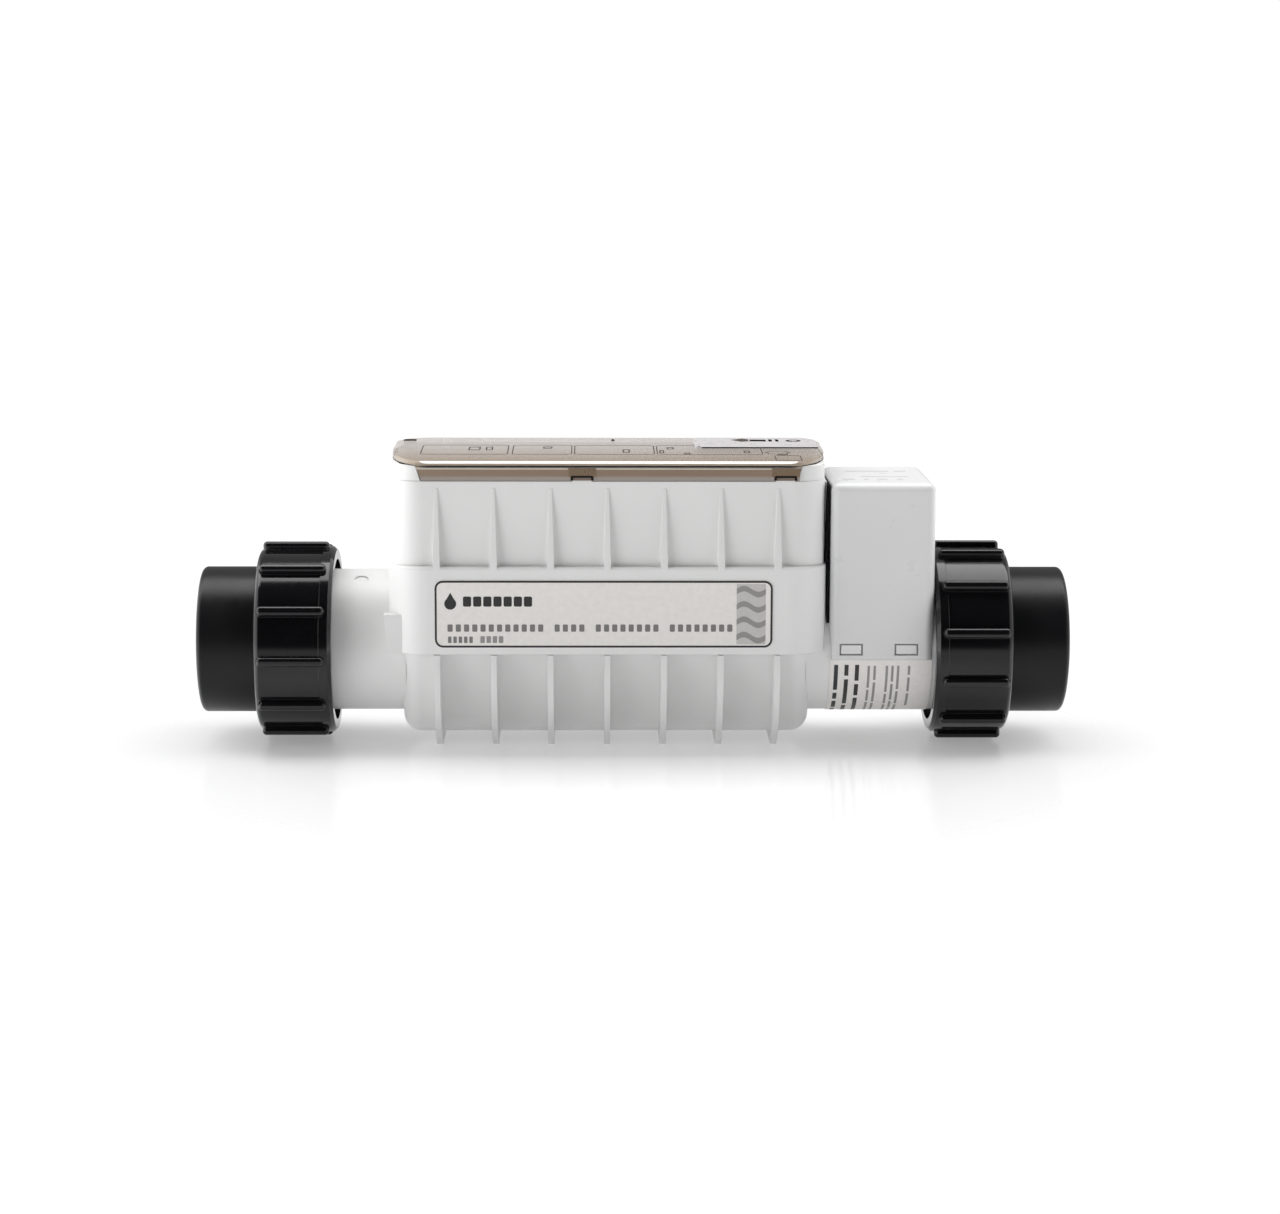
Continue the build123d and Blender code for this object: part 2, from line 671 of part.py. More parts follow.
def lid():
    body = lid_envelope(0, LID_RIM_Z, 0)
    body = fillet(body.faces().sort_by(Axis.Z)[-1].edges(), 1.2)
    body += lip_outline(0, *LID_LIP_Y)
    for x in LATCH_X:
        tab = (x - LATCH_TAB_HALF, x + LATCH_TAB_HALF)
        body += block(tab, (LATCH_TAB_FRONT, LID_LIP_Y[0] + 0.5), (LID_LIP_Z, LIP_TOP))
    body -= lid_front_cuts()
    body -= lid_envelope(LID_WALL, LID_RIM_Z - 2, LID_WALL) - block((-130, 110), (-50, -40), (130, 150))
    for x in LATCH_X:
        half = LATCH_NOTCH[0] / 2
        body -= block((x - half, x + half), (-50, -40), (LID_LIP_Z - 1, LID_LIP_Z + LATCH_NOTCH[1]))
    half = HINGE_BARREL / 2
    for centre in HINGE_CENTRES:
        barrel = (centre - half, centre + half)
        body += rod_x(BARREL_R, barrel, HINGE_Y, HINGE_Z)
        body += block(barrel, (HINGE_Y - BARREL_R, HINGE_Y), (HINGE_Z, HINGE_Z + 3.0))
        body -= rod_x(HINGE_PIN_R + HINGE_FIT, (centre - 14, centre + 14), HINGE_Y, HINGE_Z)
    for x in lug_spans():
        body -= rod_x(BARREL_R + 0.35, (x[0] - 0.3, x[1] + 0.3), HINGE_Y, HINGE_Z)
    for vent in VENTS:
        body -= vent_slot(*vent)
    return body


def vent_slot(x, width):
    """Small slot through the lid near its back edge."""
    slot = Pos(x, VENT_Y) * RectangleRounded(width, VENT_LENGTH, 0.7)
    return extrude(Pos(0, 0, LID_RIM_Z - 1) * slot, 8.0)


def lid_label():
    """Raised plate at the right rear of the lid, following its slope and its rounded corner."""
    front, back = LID_LABEL_Y
    thick = 0.6
    points = [
        (front, lid_top(front)),
        (back, lid_top(back)),
        (back, lid_top(back) + thick),
        (front, lid_top(front) + thick),
    ]
    end = LID_X[1] - LID_LABEL_INSET
    body = prism_x(points, (LID_LABEL_X, end))
    corner = LID_CORNER - LID_LABEL_INSET
    body &= slab((LID_X[0], end), LID_HALF - LID_LABEL_INSET, (LID_RIM_Z, LID_BACK_Z + 2), corner)
    return fillet(body.edges().filter_by(Axis.Z).sort_by(Axis.X)[0:2], 3.0)


def hinge_pins():
    reach = HINGE_BARREL / 2 + 4.0
    return [rod_x(HINGE_PIN_R, (c - reach, c + reach), HINGE_Y, HINGE_Z) for c in HINGE_CENTRES]


# ---- labels ----
def front_label():
    plan = Pos(*FRONT_LABEL_CENTRE) * RectangleRounded(*FRONT_LABEL_SIZE, 4.0)
    return extrude(Plane.XZ.offset(SKIRT_HALF) * plan, LABEL_THICK)


def neck_label():
    body = ring_x(NECK_R + 0.35, NECK_R, (SENSOR_X[0] + 0.5, SENSOR_X[1] - 0.5))
    return body & block((90, 150), (-40, 40), (10.0, SENSOR_Z[0] - 0.5))


# ---- sensor box ----
def sensor_cover():
    body = block(SENSOR_X, (-SENSOR_HALF, SENSOR_HALF), SENSOR_Z)
    body = fillet(body.edges().filter_by(Axis.Z), SENSOR_CORNER)
    body = fillet(body.faces().sort_by(Axis.Z)[-1].edges(), SENSOR_CORNER - 0.3)
    inner_x = (SENSOR_X[0] + SENSOR_WALL, SENSOR_X[1] - SENSOR_WALL)
    inner = SENSOR_HALF - SENSOR_WALL
    hollow = block(inner_x, (-inner, inner), (SENSOR_Z[0] - 1, SENSOR_Z[1] - SENSOR_WALL))
    body -= fillet(hollow.edges().filter_by(Axis.Z), SENSOR_CORNER - SENSOR_WALL)
    body -= rod_x(NECK_R + 0.3, (SENSOR_X[0] - 1, SENSOR_X[1] + 1))
    body -= block((SENSOR_X[0] - 1, SENSOR_X[1] + 1), (-NECK_R - 0.3, NECK_R + 0.3), (40, AXIS_Z))
    for x in SNAP_X:
        body -= block(x, (-40, 40), SNAP_Z)
    body -= rod_y(6.05, PORT_X, (30, 40), GLAND_Z)
    return body


def gland_body():
    """Cable gland's threaded body with its inside flange."""
    outside, inside = SENSOR_HALF, SENSOR_HALF - SENSOR_WALL
    body = rod_y(6.0, PORT_X, (inside - 4, outside + 7), GLAND_Z)
    body += rod_y(8.5, PORT_X, (outside, outside + 2.5), GLAND_Z)
    return body - rod_y(4.2, PORT_X, (20, 60), GLAND_Z)


def gland_locknut():
    inside = SENSOR_HALF - SENSOR_WALL
    hexagon = RegularPolygon(8.5, 6, major_radius=False)
    body = extrude(Plane.XZ.offset(-inside + 3) * (Pos(PORT_X, GLAND_Z) * hexagon), -3.0)
    return body - rod_y(6.05, PORT_X, (20, 60), GLAND_Z)


def gland_cap():
    outside = SENSOR_HALF
    body = rod_y(9.5, PORT_X, (outside + 2.6, outside + 11.5), GLAND_Z)
    body = fillet(body.faces().sort_by(Axis.Y)[-1].edges(), 3.0)
    body -= rod_y(6.05, PORT_X, (outside, outside + 7.2), GLAND_Z)
    return body - rod_y(4.2, PORT_X, (20, 60), GLAND_Z)


def sensor_board():
    return block((PORT_X - 20, PORT_X + 20), (-28.0, 28.0), (112.0, 113.6))


def sensor_board_posts():
    """Pillars that stand on the neck."""
    neck_surface = rod_x(NECK_R, SENSOR_X)
    places = grid((105.0, 139.0), (-20.0, 20.0))
    return [rod_z(2.5, x, y, (AXIS_Z + 20, 112.0)) - neck_surface for x, y in places]


def flow_switch_body():
    """Plug in the neck's port: a flange, a stem with two ears, and a pocket for the reed switch."""
    top = PORT_TOP
    body = rod_z(8.3, PORT_X, 0, (80.0, top + 1))
    body += rod_z(12.5, PORT_X, 0, (top, top + 4))
    body -= rod_z(3.0, PORT_X, 0, (84.0, top + 6))
    for side in (-1, 1):
        y = sorted((side * 4.0, side * 6.5))
        body += block((PORT_X - 3, PORT_X + 3), y, (PADDLE_PIN_Z - 3, 81.0))
    return body - rod_y(PADDLE_PIN_R, PORT_X, (-8, 8), PADDLE_PIN_Z)


def port_seal():
    return ring_z(12.0, 8.5, PORT_X, 0, (PORT_TOP - PORT_SEAL, PORT_TOP))


def reed_switch():
    return rod_z(1.4, PORT_X, 0, (84.2, 102.0))


def paddle_pin():
    return rod_y(PADDLE_PIN_R, PORT_X, (-6.5, 6.5), PADDLE_PIN_Z)


def flow_paddle():
    """Blade that hangs in the stream from its hub."""
    hub = rod_y(2.6, PORT_X, (-3.7, 3.7), PADDLE_PIN_Z)
    arm = block((PORT_X - 0.9, PORT_X + 0.9), (-3.0, 3.0), (56.0, PADDLE_PIN_Z - 1.5))
    blade_plate = block((PORT_X - 0.9, PORT_X + 0.9), (-9.0, 9.0), (38.0, 58.0))
    body = hub + arm + blade_plate
    body -= block((PORT_X + 0.1, PORT_X + 2), (-2.0, 2.0), (62.0, 67.0))
    return body - rod_y(PADDLE_PIN_R + 0.06, PORT_X, (-8, 8), PADDLE_PIN_Z)


def paddle_magnet():
    return block((PORT_X + 0.1, PORT_X + 1.6), (-1.9, 1.9), (62.1, 66.9))


# ---- pipe unions ----
def tailpiece(side):
    """Socket end that the pipe is glued into, with the collar that the nut pulls on."""
    end = (COLLAR_X[0], HALF_LENGTH)
    body = rod_x(TAIL_R, span(*end, side))
    face = body.faces().sort_by(Axis.X)[-1 if side == "right" else 0]
    body = fillet(face.edges(), 2.5)
    body += rod_x(COLLAR_R, span(*COLLAR_X, side))
    body -= rod_x(TAIL_BORE_R, (-HALF_LENGTH - 1, HALF_LENGTH + 1))
    return body - rod_x(TAIL_SOCKET_R, span(HALF_LENGTH - TAIL_SOCKET_DEPTH, HALF_LENGTH + 1, side))


def union_oring(side):
    sign = 1 if side == "right" else -1
    return Pos(sign * (NECK_END_X - 1.5), 0, AXIS_Z) * Rot(0, 90, 0) * Torus(33.0, 1.4)


def nut_rib(angle, side):
    """Bar along the nut with rounded top edges and ends."""
    low, high = span(*NUT_RIB_X, side)
    height = NUT_RIB_TOP - NUT_R + 1.6
    bar = Box(high - low, 2 * NUT_RIB_R, height)
    bar = fillet(bar.edges().filter_by(Axis.Z), 2.2)
    bar = fillet(bar.faces().sort_by(Axis.Z)[-1].edges(), 2.0)
    bar = Pos((low + high) / 2, 0, NUT_RIB_TOP - height / 2) * bar
    return Pos(0, 0, AXIS_Z) * Rot(90 + angle, 0, 0) * bar


def nut_rim(side):
    """Raised band round the nut's mouth, chamfered towards the neck."""
    radius, width, chamfered = NUT_RIM
    rim = rod_x(radius, span(NUT_X[0], NUT_X[0] + width, side))
    mouth = rim.faces().sort_by(Axis.X)[0 if side == "right" else -1]
    return chamfer(mouth.edges(), chamfered)


def union_nut(side):
    """Ribbed coupling nut, clear of the neck's thread and of the collar it holds."""
    body = rod_x(NUT_R, span(NUT_X[0] + NUT_RIM[2], NUT_X[1], side))
    face = body.faces().sort_by(Axis.X)[-1 if side == "right" else 0]
    body = fillet(face.edges(), 3.5)
    body += nut_rim(side)
    for index in range(NUT_RIB_COUNT):
        body += nut_rib(NUT_PHASE[side] + index * 360 / NUT_RIB_COUNT, side)
    body -= rod_x(NUT_BORE_R, span(NUT_X[0] - 1, NUT_LIP_X, side))
    return body - rod_x(NUT_HOLE_R, span(NUT_LIP_X - 1, NUT_X[1] + 1, side))


def write(node, shape):
    """One STEP file per node; a list becomes a group of separate solids."""
    if isinstance(shape, list):
        shape = Compound(children=[item.solid() for item in shape])
    export_step(shape, f"parts/{node}.step")


def main():
    single = [
        cell_housing, chamber_gasket, chamber_cover, cover_screws, anode_plates, cathode_plates,
        terminal_posts, plate_combs, terminal_nuts, terminal_seals, salinity_probes, upper_housing,
        control_deck, keypad_overlay, status_lamps, display_board, display_switches, display_pillars,
        control_board, board_components, board_screws, power_leads, lid, lid_label, hinge_pins,
        front_label, neck_label, box_seal, sensor_cover, gland_body, gland_locknut, gland_cap, sensor_board,
        sensor_board_posts, flow_switch_body, port_seal, reed_switch, paddle_pin, flow_paddle,
        paddle_magnet,
    ]
    for make in single:
        write(make.__name__, make())
    for name, x in zip(("less_button", "more_button"), BUTTON_X):
        write(name, push_button(x))
    for side in ("left", "right"):
        write(f"{side}_tailpiece", tailpiece(side))
        write(f"{side}_union_oring", union_oring(side))
        write(f"{side}_union_nut", union_nut(side))


main()
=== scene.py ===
import math

import bpy
import bmesh
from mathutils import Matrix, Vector


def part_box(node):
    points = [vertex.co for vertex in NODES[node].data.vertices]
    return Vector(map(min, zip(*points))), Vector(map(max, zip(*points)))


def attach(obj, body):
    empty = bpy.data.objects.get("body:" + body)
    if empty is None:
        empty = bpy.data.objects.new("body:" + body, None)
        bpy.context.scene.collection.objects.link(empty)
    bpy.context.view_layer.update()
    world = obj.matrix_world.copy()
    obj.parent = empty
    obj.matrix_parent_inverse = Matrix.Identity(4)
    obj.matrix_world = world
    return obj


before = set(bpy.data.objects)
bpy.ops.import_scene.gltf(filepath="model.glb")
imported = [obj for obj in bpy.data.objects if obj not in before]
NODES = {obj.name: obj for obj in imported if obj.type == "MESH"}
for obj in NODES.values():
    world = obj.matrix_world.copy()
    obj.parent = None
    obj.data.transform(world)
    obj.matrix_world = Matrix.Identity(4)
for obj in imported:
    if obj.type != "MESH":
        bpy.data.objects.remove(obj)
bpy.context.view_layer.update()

MM = 0.001
AXIS_Z = (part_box("left_tailpiece")[0].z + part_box("left_tailpiece")[1].z) / 2
NECK_R = 35.35 * MM


# ---------------------------------------------------------------- camera
def add_camera():
    """85 mm lens, 1.5 m in front of the pipe and a little above it."""
    data = bpy.data.cameras.new("camera")
    data.lens = 85.0
    data.sensor_width = 36.0
    camera = bpy.data.objects.new("camera", data)
    bpy.context.scene.collection.objects.link(camera)
    camera.location = (-0.0235, -1.504, 0.315)
    camera.rotation_euler = (math.radians(90 - 9.39), math.radians(-0.18), math.radians(-1.00))
    bpy.context.scene.camera = camera


add_camera()


# ---------------------------------------------------------------- material kit
class Tree:
    """Short way to add and join shader nodes."""

    def __init__(self, name):
        self.material = bpy.data.materials.new(name)
        self.material.use_nodes = True
        self.tree = self.material.node_tree
        self.tree.nodes.clear()
        self.out = self.add("ShaderNodeOutputMaterial")
        self.where = self.add("ShaderNodeTexCoord").outputs["Object"]

    def add(self, kind, **values):
        node = self.tree.nodes.new(kind)
        for key, value in values.items():
            setattr(node, key, value)
        return node

    def join(self, source, target):
        self.tree.links.new(source, target)

    def noise(self, scale, detail=3.0, rough=0.5, stretch=None):
        node = self.add("ShaderNodeTexNoise")
        node.inputs["Scale"].default_value = scale
        node.inputs["Detail"].default_value = detail
        node.inputs["Roughness"].default_value = rough
        source = self.where
        if stretch:
            mapping = self.add("ShaderNodeMapping")
            mapping.inputs["Scale"].default_value = stretch
            self.join(source, mapping.inputs["Vector"])
            source = mapping.outputs["Vector"]
        self.join(source, node.inputs["Vector"])
        return node.outputs["Fac"]

    def spread(self, source, low, high, start=0.3, stop=0.7):
        """A 0 to 1 value mapped onto low to high."""
        node = self.add("ShaderNodeMapRange")
        node.inputs["From Min"].default_value = start
        node.inputs["From Max"].default_value = stop
        node.inputs["To Min"].default_value = low
        node.inputs["To Max"].default_value = high
        self.join(source, node.inputs["Value"])
        return node.outputs["Result"]

    def mix(self, factor, first, second, mode="MIX"):
        node = self.add("ShaderNodeMix", data_type="RGBA", blend_type=mode)
        self.set_or_join(factor, node.inputs[0])
        self.set_or_join(first, node.inputs[6])
        self.set_or_join(second, node.inputs[7])
        return node.outputs[2]

    def set_or_join(self, value, socket):
        if isinstance(value, bpy.types.NodeSocket):
            self.join(value, socket)
        elif isinstance(value, tuple):
            socket.default_value = (*value, 1.0) if len(value) == 3 else value
        else:
            socket.default_value = value

    def edge_mask(self, radius):
        """1 along sharp edges, 0 on flats."""
        bevel = self.add("ShaderNodeBevel", samples=4)
        bevel.inputs["Radius"].default_value = radius
        geometry = self.add("ShaderNodeNewGeometry")
        dot = self.add("ShaderNodeVectorMath", operation="DOT_PRODUCT")
        self.join(bevel.outputs["Normal"], dot.inputs[0])
        self.join(geometry.outputs["Normal"], dot.inputs[1])
        return bevel.outputs["Normal"], self.spread(dot.outputs["Value"], 1.0, 0.0, 0.80, 0.985)


def shade(base, factor):
    return tuple(min(1.0, channel * factor) for channel in base)


def moulded(name, base, rough, vary=0.05, grain=2600.0, depth=0.012, edge=1.06, round_edge=0.35,
            gloss=0.5, coat=0.0):
    """Injection-moulded plastic: faint cloudy colour, fine grain, softened edges, and a painted highlight
    that makes sharp edges paler.
    """
    t = Tree(name)
    shader = t.add("ShaderNodeBsdfPrincipled")
    t.join(shader.outputs["BSDF"], t.out.inputs["Surface"])
    clouds = t.noise(22.0, 4.0, 0.55)
    colour = t.mix(t.spread(clouds, 0.0, 1.0), shade(base, 1 - vary), shade(base, 1 + vary * 0.6))
    normal, mask = t.edge_mask(round_edge * MM)
    # Painted highlight: sharp edges are coloured paler by the edge factor.
    edge_highlight_paint = t.add("ShaderNodeMath", operation="MULTIPLY")
    t.join(mask, edge_highlight_paint.inputs[0])
    edge_highlight_paint.inputs[1].default_value = 0.55
    colour = t.mix(edge_highlight_paint.outputs[0], colour, shade(base, edge))
    t.join(colour, shader.inputs["Base Color"])
    t.join(t.spread(t.noise(60.0, 5.0, 0.65), rough * 0.86, rough * 1.16), shader.inputs["Roughness"])
    bump = t.add("ShaderNodeBump")
    bump.inputs["Strength"].default_value = 0.35
    bump.inputs["Distance"].default_value = depth * MM
    t.join(t.noise(grain, 2.0, 0.6), bump.inputs["Height"])
    t.join(normal, bump.inputs["Normal"])
    flow = t.add("ShaderNodeBump")
    flow.inputs["Strength"].default_value = 0.12
    flow.inputs["Distance"].default_value = 0.25 * MM
    t.join(t.noise(38.0, 2.0, 0.5, (0.4, 1.0, 1.0)), flow.inputs["Height"])
    t.join(bump.outputs["Normal"], flow.inputs["Normal"])
    t.join(flow.outputs["Normal"], shader.inputs["Normal"])
    shader.inputs["Specular IOR Level"].default_value = gloss
    shader.inputs["Coat Weight"].default_value = coat
    shader.inputs["Coat Roughness"].default_value = 0.06
    return t.material


def printed(name, base, rough=0.42, vary=0.03, gloss=0.5):
    """Printed film or ink: even colour with faint mottling."""
    t = Tree(name)
    shader = t.add("ShaderNodeBsdfPrincipled")
    t.join(shader.outputs["BSDF"], t.out.inputs["Surface"])
    colour = t.mix(t.spread(t.noise(350.0, 3.0), 0.0, 1.0), shade(base, 1 - vary), shade(base, 1 + vary))
    t.join(colour, shader.inputs["Base Color"])
    t.join(t.spread(t.noise(120.0, 3.0), rough * 0.85, rough * 1.15), shader.inputs["Roughness"])
    bump = t.add("ShaderNodeBump")
    bump.inputs["Strength"].default_value = 0.2
    bump.inputs["Distance"].default_value = 0.01 * MM
    t.join(t.noise(3500.0, 1.0), bump.inputs["Height"])
    t.join(bump.outputs["Normal"], shader.inputs["Normal"])
    shader.inputs["Specular IOR Level"].default_value = gloss
    return t.material


def metal(name, base, rough, stretch=(1.0, 30.0, 30.0)):
    """Drawn metal with fine scratches along one direction."""
    t = Tree(name)
    shader = t.add("ShaderNodeBsdfPrincipled")
    t.join(shader.outputs["BSDF"], t.out.inputs["Surface"])
    scratch = t.noise(160.0, 4.0, 0.6, stretch)
    colour = t.mix(t.spread(scratch, 0.0, 1.0), shade(base, 0.82), shade(base, 1.1))
    t.join(colour, shader.inputs["Base Color"])
    t.join(t.spread(scratch, rough * 0.7, rough * 1.3), shader.inputs["Roughness"])
    normal, _ = t.edge_mask(0.2 * MM)
    bump = t.add("ShaderNodeBump")
    bump.inputs["Strength"].default_value = 0.25
    bump.inputs["Distance"].default_value = 0.01 * MM
    t.join(scratch, bump.inputs["Height"])
    t.join(normal, bump.inputs["Normal"])
    t.join(bump.outputs["Normal"], shader.inputs["Normal"])
    shader.inputs["Metallic"].default_value = 1.0
    return t.material


def smoked(name):
    """Tinted see-through plastic: pale over the keypad with a painted reflection in that pale colour, browner
    toward the front and on the lip, and a painted highlight on the edges that slope up and forward.
    """
    t = Tree(name)
    shader = t.add("ShaderNodeBsdfPrincipled")
    t.join(shader.outputs["BSDF"], t.out.inputs["Surface"])
    place = t.add("ShaderNodeSeparateXYZ")
    t.join(t.where, place.inputs[0])
    clouds = t.noise(14.0, 3.0, 0.5, (0.5, 1.0, 1.0))
    # The pale top colour is partly the plastic over the light keypad and partly a painted reflection of the
    # bright surroundings; it fades to brown toward the front.
    top = t.mix(t.spread(clouds, 0.0, 1.0), (0.67, 0.62, 0.59), (0.74, 0.69, 0.66))
    front = t.spread(place.outputs["Y"], 1.0, 0.0, -38 * MM, 14 * MM)
    lip = t.spread(place.outputs["Z"], 1.0, 0.0, 142.7 * MM, 143.1 * MM)
    colour = t.mix(front, top, (0.48, 0.39, 0.295))
    colour = t.mix(lip, colour, t.mix(t.spread(clouds, 0.0, 1.0), (0.26, 0.185, 0.13), (0.30, 0.22, 0.16)))
    foot = t.spread(place.outputs["Z"], 1.0, 0.0, 137.2 * MM, 138.4 * MM)
    colour = t.mix(foot, colour, (0.36, 0.315, 0.285))
    # Painted highlight: surfaces that face up and forward are coloured near white and made more opaque,
    # standing in for the bright reflection along the lid's front edge.
    facing = t.add("ShaderNodeVectorMath", operation="DOT_PRODUCT")
    t.join(t.add("ShaderNodeTexCoord").outputs["Normal"], facing.inputs[0])
    facing.inputs[1].default_value = (0.0, -0.5, 0.866)
    slope_painted_highlight = t.spread(facing.outputs["Value"], 0.0, 1.0, 0.955, 0.985)
    colour = t.mix(slope_painted_highlight, colour, (0.84, 0.81, 0.78))
    t.join(colour, shader.inputs["Base Color"])
    lip_and_highlight_opacity = t.add("ShaderNodeMath", operation="MAXIMUM")
    t.join(lip, lip_and_highlight_opacity.inputs[0])
    t.join(slope_painted_highlight, lip_and_highlight_opacity.inputs[1])
    t.join(t.spread(lip_and_highlight_opacity.outputs[0], 0.60, 0.92, 0.0, 1.0), shader.inputs["Alpha"])
    scratch = t.noise(260.0, 5.0, 0.7, (0.15, 2.0, 2.0))
    t.join(t.spread(scratch, 0.09, 0.17), shader.inputs["Roughness"])
    normal, _ = t.edge_mask(0.3 * MM)
    bump = t.add("ShaderNodeBump")
    bump.inputs["Strength"].default_value = 0.03
    bump.inputs["Distance"].default_value = 0.1 * MM
    t.join(clouds, bump.inputs["Height"])
    t.join(normal, bump.inputs["Normal"])
    t.join(bump.outputs["Normal"], shader.inputs["Normal"])
    shader.inputs["IOR"].default_value = 1.5
    return t.material


WHITE = moulded("white_moulded", (0.81, 0.81, 0.805), 0.42, vary=0.02, edge=1.05, round_edge=0.5)
WHITE_COVER = moulded("white_cover", (0.765, 0.765, 0.77), 0.30, vary=0.015, edge=1.05, round_edge=0.5)
CREAM = moulded("natural_plastic", (0.74, 0.73, 0.69), 0.5, vary=0.05)
BLACK_GLOSS = moulded("black_gloss", (0.006, 0.006, 0.007), 0.13, vary=0.3, depth=0.005, edge=2.6,
                      round_edge=0.5, gloss=0.38, coat=0.10)
BLACK_SATIN = moulded("black_satin", (0.007, 0.007, 0.008), 0.34, vary=0.3, grain=1800.0, depth=0.015,
                      edge=2.2, round_edge=0.5, gloss=0.26)
RUBBER = moulded("rubber", (0.02, 0.02, 0.021), 0.62, vary=0.25, grain=1500.0, depth=0.03, edge=1.5)
BUTTON = moulded("button_rubber", (0.16, 0.16, 0.17), 0.5, vary=0.1, grain=1500.0, depth=0.03, edge=1.4)
BOARD = moulded("solder_mask", (0.015, 0.12, 0.05), 0.25, vary=0.25, edge=1.8, gloss=0.6)
PART = moulded("component", (0.03, 0.03, 0.033), 0.4, vary=0.3, edge=1.8)
LEAD = moulded("lead", (0.32, 0.02, 0.02), 0.45, vary=0.15)
MAGNET = metal("magnet", (0.25, 0.25, 0.26), 0.45)
TITANIUM = metal("titanium", (0.36, 0.35, 0.34), 0.38)
STEEL = metal("steel", (0.62, 0.62, 0.62), 0.28)
LAMP = moulded("lamp", (0.12, 0.45, 0.18), 0.2, vary=0.1, gloss=0.6)
LABEL = printed("label_film", (0.84, 0.815, 0.79), 0.36)
LABEL_LIGHT = printed("label_light", (0.56, 0.54, 0.545), 0.30)
KEYPAD = printed("keypad_film", (0.60, 0.55, 0.53), 0.4)
INK = printed("ink_black", (0.025, 0.024, 0.024), 0.4, 0.1)
INK_GREY = printed("ink_grey", (0.30, 0.29, 0.285), 0.42)
INK_SOFT = printed("ink_soft", (0.20, 0.19, 0.185), 0.42)
INK_PALE = printed("ink_pale", (0.57, 0.555, 0.54), 0.42)
SMOKED = smoked("smoked_lid")
INK_LID = printed("ink_lid", (0.085, 0.075, 0.07), 0.8, 0.1, gloss=0.0)
INK_DARK = printed("ink_dark", (0.018, 0.016, 0.015), 0.8, 0.1, gloss=0.0)
LATCH_BROWN = printed("latch_brown", (0.19, 0.13, 0.08), 0.3)
LATCH_GREY = printed("latch_grey", (0.20, 0.155, 0.125), 0.35)
# Pale colour for the painted highlight line on the lid's lip.
LIP_PAINTED_HIGHLIGHT = printed("lip_highlight_colour", (0.62, 0.56, 0.48), 0.3)
# Near-black seal material that stands in for the shade in deep gaps: the strip beside the sensor box and the
# strip in the groove under the lid's top.
DARK_GAP_SHADE = moulded("dark_seal_gap_shade", (0.012, 0.012, 0.012), 0.9, vary=0.3, grain=1200.0, depth=0.05, edge=1.2,
               gloss=0.1)


def paint(material, *names):
    """Gives CAD nodes a better material."""
    for name in names:
        slots = NODES[name].data.materials
        slots.clear()
        slots.append(material)


paint(WHITE, "cell_housing", "upper_housing", "control_deck")
paint(WHITE_COVER, "sensor_cover")
paint(SMOKED, "lid")
paint(LABEL, "front_label", "neck_label")
paint(LABEL_LIGHT, "lid_label")
paint(KEYPAD, "keypad_overlay")
paint(BLACK_GLOSS, "left_union_nut", "right_union_nut")
paint(BLACK_SATIN, "left_tailpiece", "right_tailpiece", "gland_body", "gland_locknut", "gland_cap")
# The seal strip beside the sensor box is near black as painted shade for that deep gap.
paint(DARK_GAP_SHADE, "box_seal")
paint(RUBBER, "chamber_gasket", "terminal_seals", "port_seal", "left_union_oring", "right_union_oring")
paint(CREAM, "chamber_cover", "plate_combs", "display_pillars", "sensor_board_posts", "flow_switch_body",
      "flow_paddle")
paint(TITANIUM, "anode_plates", "cathode_plates", "terminal_posts", "salinity_probes", "paddle_pin")
paint(STEEL, "cover_screws", "board_screws", "terminal_nuts", "hinge_pins")
paint(BOARD, "control_board", "display_board", "sensor_board")
paint(PART, "board_components", "display_switches")
paint(LAMP, "status_lamps", "reed_switch")
paint(BUTTON, "less_button", "more_button")
paint(LEAD, "power_leads")
paint(MAGNET, "paddle_magnet")


# ---------------------------------------------------------------- printing
def rounded_rectangle(x0, x1, y0, y1, radius, steps=6):
    """Outline of a rectangle with round corners, anticlockwise."""
    corners = [(x1 - radius, y1 - radius, 0), (x0 + radius, y1 - radius, 90),
               (x0 + radius, y0 + radius, 180), (x1 - radius, y0 + radius, 270)]
    points = []
    for cx, cy, start in corners:
        for step in range(steps + 1):
            angle = math.radians(start + 90 * step / steps)
            points.append((cx + radius * math.cos(angle), cy + radius * math.sin(angle)))
    return points


def circle(cx, cy, radius, steps=28, scallop=0.0, lobes=0):
    points = []
    for step in range(steps):
        angle = 2 * math.pi * step / steps
        reach = radius * (1 + scallop * math.cos(lobes * angle))
        points.append((cx + reach * math.cos(angle), cy + reach * math.sin(angle)))
    return points


def add_prism(mesh, outline, place, thick, hole=None):
    """Thin solid of an outline: place(u, v, w) puts a point of the print into the row frame."""
    low = [mesh.verts.new(place(u, v, 0.0)) for u, v in outline]
    high = [mesh.verts.new(place(u, v, thick)) for u, v in outline]
    count = len(outline)
    for index in range(count):
        after = (index + 1) % count
        mesh.faces.new((low[index], low[after], high[after], high[index]))
    if hole is None:
        mesh.faces.new(high)
        mesh.faces.new(list(reversed(low)))
        return
    inner_low = [mesh.verts.new(place(u, v, 0.0)) for u, v in hole]
    inner_high = [mesh.verts.new(place(u, v, thick)) for u, v in hole]
    for index in range(count):
        after = (index + 1) % count
        mesh.faces.new((inner_low[after], inner_low[index], inner_high[index], inner_high[after]))
        mesh.faces.new((high[index], high[after], inner_high[after], inner_high[index]))
        mesh.faces.new((inner_low[index], inner_low[after], low[after], low[index]))


def piece(name, mesh, material, body):
    bmesh.ops.recalc_face_normals(mesh, faces=mesh.faces[:])
    data = bpy.data.meshes.new(name)
    mesh.to_mesh(data)
    mesh.free()
    obj = bpy.data.objects.new(name, data)
    bpy.context.scene.collection.objects.link(obj)
    data.materials.append(material)
    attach(obj, body)
    return obj


